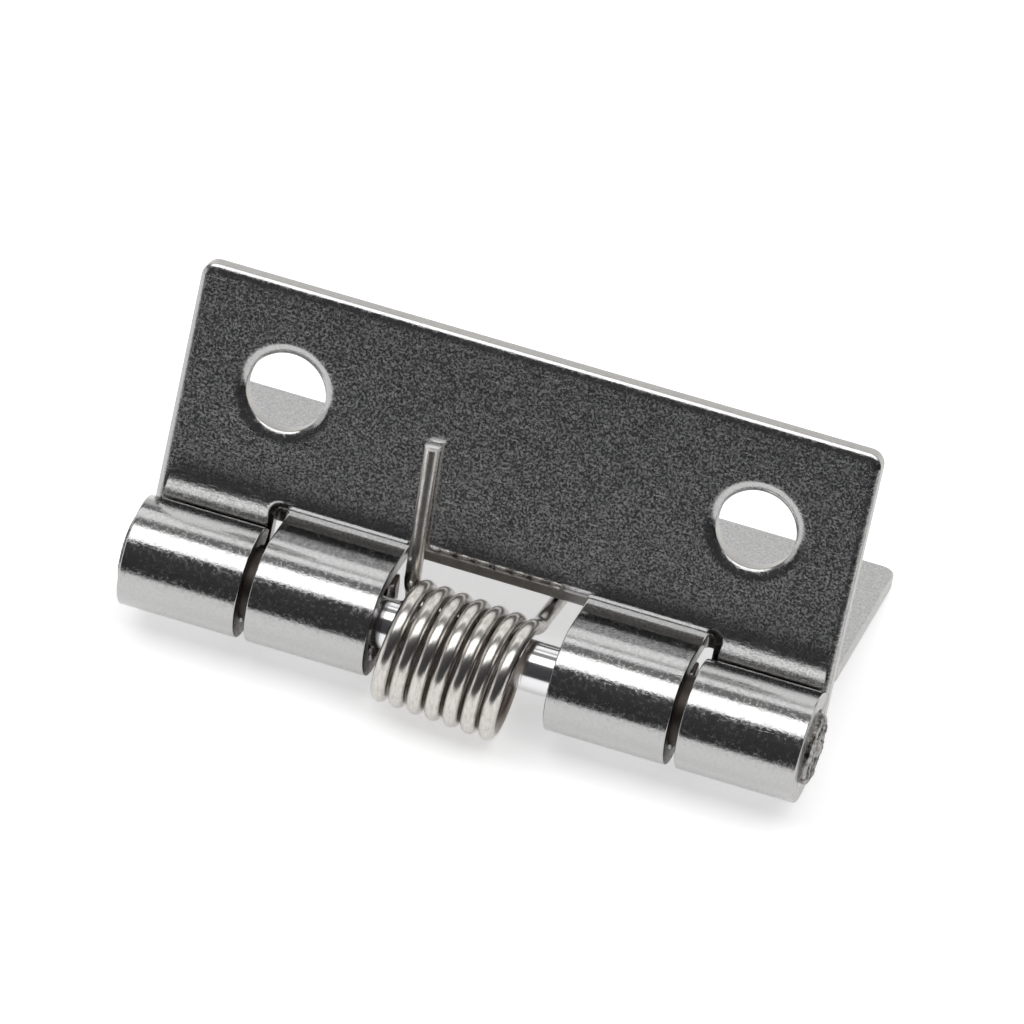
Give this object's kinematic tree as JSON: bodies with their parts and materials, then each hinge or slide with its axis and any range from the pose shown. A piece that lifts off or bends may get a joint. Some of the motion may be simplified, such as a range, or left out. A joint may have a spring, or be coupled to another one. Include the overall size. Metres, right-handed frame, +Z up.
{
  "type": "spring hinge",
  "caption": "Small self-closing spring hinge: two stamped steel leaves with rolled knuckles on one pin, and a torsion spring round the middle of the pin.",
  "frame": {"origin": "on the flat surface that the hinge lies on, under the middle of its box", "axes": "+X along the pin towards the hinge's right end, -Y to the front, where the barrel and the spring are, +Z up; the inner leaf runs back and down to the surface and the outer leaf leans back over it"},
  "size_m": [0.0386, 0.0204, 0.0175],
  "materials": {
    "leaf_steel": "tumbled satin stainless sheet, polished on the knuckles, sheared edges",
    "pin_steel": "bright drawn rod with rough staked ends",
    "spring_wire": "bright drawn spring wire with a faint warm tint"
  },
  "bodies": {
    "inner": {"inner_leaf": "leaf_steel", "spring_coil": "spring_wire", "spring_inner_leg": "spring_wire"},
    "outer": {"outer_leaf": "leaf_steel", "hinge_pin": "pin_steel", "spring_outer_leg": "spring_wire"}
  },
  "joints": [
    {"name": "leaf_swing", "type": "hinge", "parent": "inner", "child": "outer", "pos_m": [0, -0.00601, 0.00415], "axis": [1, 0, 0], "range_deg": [0, 96.5], "stiffness_Nm_per_rad": 0.046, "springref_deg": -57.3, "deforming": ["spring_coil"]}
  ]
}
